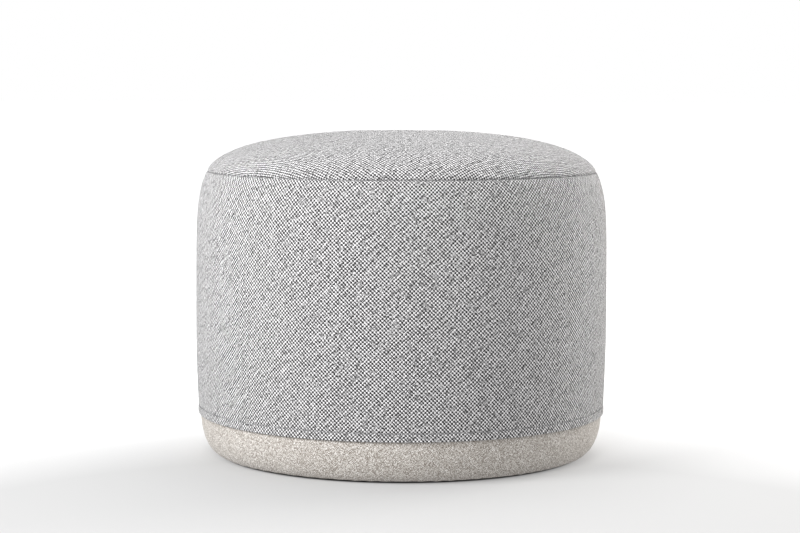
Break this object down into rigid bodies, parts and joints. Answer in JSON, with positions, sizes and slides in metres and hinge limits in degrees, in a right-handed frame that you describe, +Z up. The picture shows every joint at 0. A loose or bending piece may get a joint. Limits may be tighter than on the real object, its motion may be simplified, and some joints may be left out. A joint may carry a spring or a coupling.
{
  "type": "upholstered pouf",
  "caption": "Round upholstered pouf: a grey woven cover with a sewn top seam and hem lifts off a linen-footed timber and foam drum.",
  "frame": {"origin": "on the floor, below the middle of the pouf, in the plane of the glides' undersides", "axes": "+Z up along the pouf's axis, towards the seat; +X and +Y are level and interchangeable"},
  "size_m": [0.5, 0.5, 0.3925],
  "materials": {
    "cover_cloth": "coarse plain weave of thick pale and charcoal yarns",
    "linen": "fine greige linen",
    "lining_cloth": "unbleached cotton",
    "wadding": "soft white fibre",
    "foam": "open-cell upholstery foam",
    "hardboard": "smooth pressed fibre",
    "plywood": "sanded birch plywood",
    "softwood": "planed pine",
    "webbing": "ribbed elastic webbing",
    "hessian": "open jute weave",
    "dust_cloth": "spun-bonded non-woven",
    "glide_plastic": "satin moulded plastic",
    "steel": "zinc plated",
    "grey_thread": "spun polyester thread",
    "pale_thread": "spun polyester thread"
  },
  "bodies": {
    "pouf_body": {"base_board": "plywood", "top_ring": "plywood", "drum_wall": "hardboard", "spring_cloth": "hessian", "seat_foam": "foam", "side_foam": "foam", "side_wadding": "wadding", "top_wadding": "wadding", "linen_base": "linen", "lining_side": "lining_cloth", "lining_top": "lining_cloth", "band_seam_thread": "pale_thread", "lining_seam_thread": "pale_thread", "dust_cover": "dust_cloth", "post_1": "softwood", "post_2": "softwood", "post_3": "softwood", "post_4": "softwood", "post_5": "softwood", "post_6": "softwood", "webbing_x_1": "webbing", "webbing_y_1": "webbing", "webbing_x_2": "webbing", "webbing_y_2": "webbing", "webbing_x_3": "webbing", "webbing_y_3": "webbing", "base_screw_1": "steel", "ring_screw_1": "steel", "base_screw_2": "steel", "ring_screw_2": "steel", "base_screw_3": "steel", "ring_screw_3": "steel", "base_screw_4": "steel", "ring_screw_4": "steel", "base_screw_5": "steel", "ring_screw_5": "steel", "base_screw_6": "steel", "ring_screw_6": "steel", "glide_1": "glide_plastic", "glide_nail_1": "steel", "glide_2": "glide_plastic", "glide_nail_2": "steel", "glide_3": "glide_plastic", "glide_nail_3": "steel", "glide_4": "glide_plastic", "glide_nail_4": "steel"},
    "cover": {"cover_side": "cover_cloth", "cover_top": "cover_cloth", "cover_side_backing": "wadding", "cover_top_backing": "wadding", "cover_seam_thread": "grey_thread", "cover_hem_thread": "grey_thread"}
  },
  "joints": [
    {"name": "cover_lift", "type": "slide", "parent": "pouf_body", "child": "cover", "axis": [0, 0, 1], "range_m": [0, 0.42]}
  ]
}
